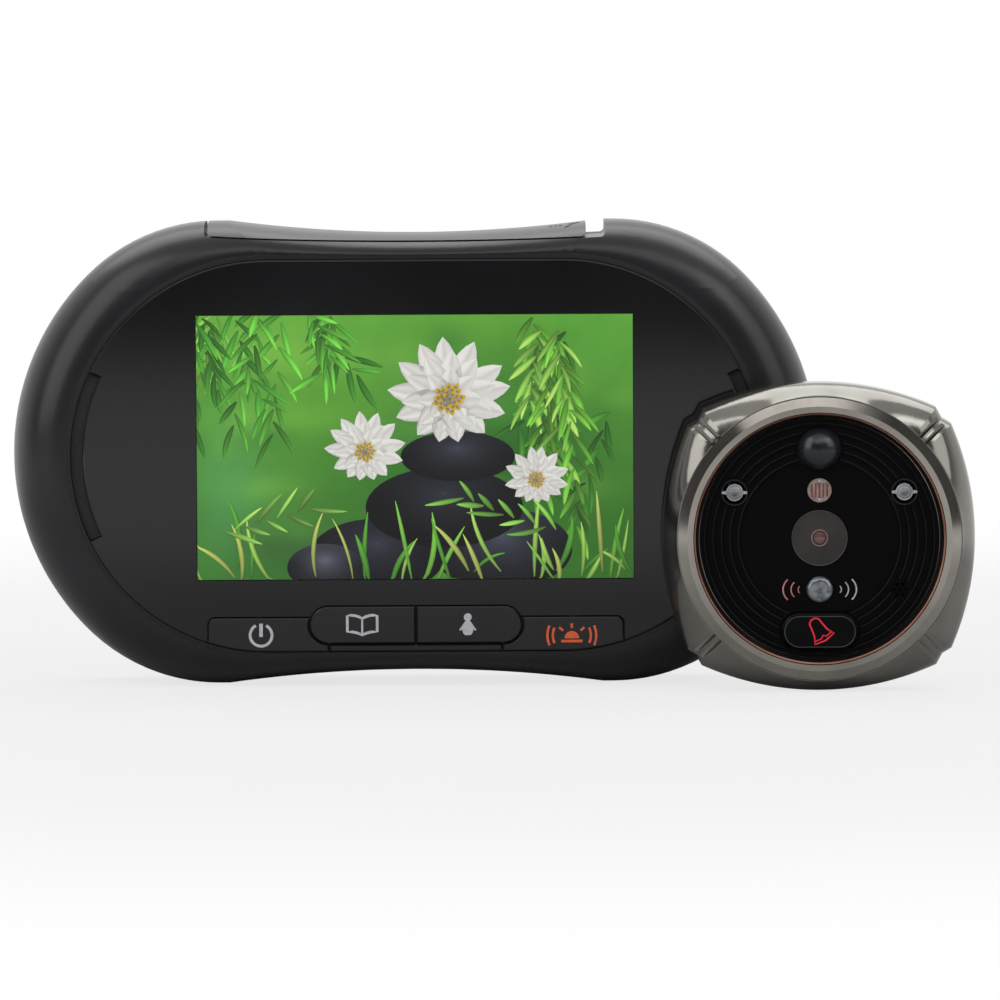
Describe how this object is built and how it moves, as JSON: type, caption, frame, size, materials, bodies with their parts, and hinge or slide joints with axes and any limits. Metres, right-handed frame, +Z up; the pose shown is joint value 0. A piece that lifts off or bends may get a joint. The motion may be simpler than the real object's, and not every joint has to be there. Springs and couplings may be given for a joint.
{
  "type": "peephole door camera",
  "caption": "Door viewer in two units: a stadium-shaped indoor unit with a screen and buttons, and an outdoor camera unit with a round face, lamps and a bell button.",
  "frame": {"origin": "on the surface that both units stand on, below the middle of the pair's box", "axes": "+X to the right as seen from the front, +Y from front to back, +Z up"},
  "size_m": [0.1769, 0.0424, 0.0855],
  "materials": {
    "casing_gloss": "high gloss, dark grey black",
    "rear_plastic": "fine matt grain, black",
    "panel_gloss": "mirror gloss, black",
    "cover_gloss": "high gloss, dark grey",
    "screen": "glossy screen with a lit picture of leaves and white flowers",
    "backlight_white": "white diffuser",
    "bright_metal": "plain bright metal",
    "flex_amber": "amber film",
    "key_gloss": "high gloss, black, with printed signs",
    "plunger_plastic": "plain",
    "board_green": "solder mask",
    "chip_black": "plain",
    "screw_steel": "zinc plated",
    "contact_brass": "plain",
    "battery_wrap": "shrink wrap",
    "mesh_black": "fine mesh, black",
    "socket_white": "plain",
    "bezel_metal": "dark plated, polished",
    "ring_metal": "dark plated, polished, with a copper sheen inside",
    "face_gloss": "high gloss, black, with fine round ridges",
    "dome_plastic": "smoky plastic",
    "light_cell": "pale cell with a red track",
    "lamp_clear": "clear lamp head",
    "window_dark": "coated dark glass",
    "bell_gloss": "high gloss, black, with a red printed bell",
    "gasket_foam": "closed-cell foam"
  },
  "bodies": {
    "indoor_unit": {"front_housing": "casing_gloss", "rear_cover": "rear_plastic", "front_panel": "panel_gloss", "lcd_panel": "screen", "lcd_backlight": "backlight_white", "lcd_tray": "bright_metal", "display_flex": "flex_amber", "key_strip": "key_gloss", "key_switches": "bright_metal", "key_board": "board_green", "main_board": "board_green", "board_chips": "chip_black", "board_screws": "screw_steel", "housing_screws": "screw_steel", "battery_bay": "rear_plastic", "battery_contacts": "contact_brass", "battery_pack": "battery_wrap", "speaker_mesh": "mesh_black", "microphone_mesh": "mesh_black", "speaker": "chip_black", "microphone": "bright_metal", "card_holder": "bright_metal", "memory_card": "chip_black", "charge_socket": "bright_metal", "cable_socket": "socket_white"},
    "power_key": {"power_button": "key_gloss", "power_plunger": "plunger_plastic"},
    "album_key": {"album_button": "key_gloss", "album_plunger": "plunger_plastic"},
    "visitor_key": {"visitor_button": "key_gloss", "visitor_plunger": "plunger_plastic"},
    "alarm_key": {"alarm_button": "key_gloss", "alarm_plunger": "plunger_plastic"},
    "cover": {"battery_cover": "cover_gloss"},
    "outdoor_unit": {"bezel": "bezel_metal", "trim_ring": "ring_metal", "face_plate": "face_gloss", "sensor_dome": "dome_plastic", "motion_sensor": "bright_metal", "light_sensor": "light_cell", "night_lamps": "lamp_clear", "lamp_reflectors": "bright_metal", "camera_window": "window_dark", "camera_board": "board_green", "camera_barrel": "chip_black", "camera_lens": "window_dark", "microphone_cap": "dome_plastic", "outdoor_microphone": "bright_metal", "bell_switch": "bright_metal", "outdoor_speaker": "chip_black", "outdoor_board": "board_green", "outdoor_socket": "socket_white", "outdoor_back": "rear_plastic", "threaded_inserts": "contact_brass", "back_screws": "screw_steel", "foam_gasket": "gasket_foam"},
    "bell_key": {"bell_button": "bell_gloss", "bell_plunger": "plunger_plastic"}
  },
  "joints": [
    {"name": "power_press", "type": "slide", "parent": "indoor_unit", "child": "power_key", "axis": [0, 1, 0], "range_m": [0, 0.0005], "stiffness_N_per_m": 1000, "springref_m": -0.0003},
    {"name": "album_press", "type": "slide", "parent": "indoor_unit", "child": "album_key", "axis": [0, 1, 0], "range_m": [0, 0.0005], "stiffness_N_per_m": 1000, "springref_m": -0.0003},
    {"name": "visitor_press", "type": "slide", "parent": "indoor_unit", "child": "visitor_key", "axis": [0, 1, 0], "range_m": [0, 0.0005], "stiffness_N_per_m": 1000, "springref_m": -0.0003},
    {"name": "alarm_press", "type": "slide", "parent": "indoor_unit", "child": "alarm_key", "axis": [0, 1, 0], "range_m": [0, 0.0005], "stiffness_N_per_m": 1000, "springref_m": -0.0003},
    {"name": "cover_slide", "type": "slide", "parent": "indoor_unit", "child": "cover", "axis": [1, 0, 0], "range_m": [0, 0.0033]},
    {"name": "outdoor_unit_move", "type": "slide", "parent": "indoor_unit", "child": "outdoor_unit", "axis": [0, -1, 0], "range_m": [0, 0.06]},
    {"name": "bell_press", "type": "slide", "parent": "outdoor_unit", "child": "bell_key", "axis": [0, 1, 0], "range_m": [0, 0.0005], "stiffness_N_per_m": 1000, "springref_m": -0.0003}
  ]
}
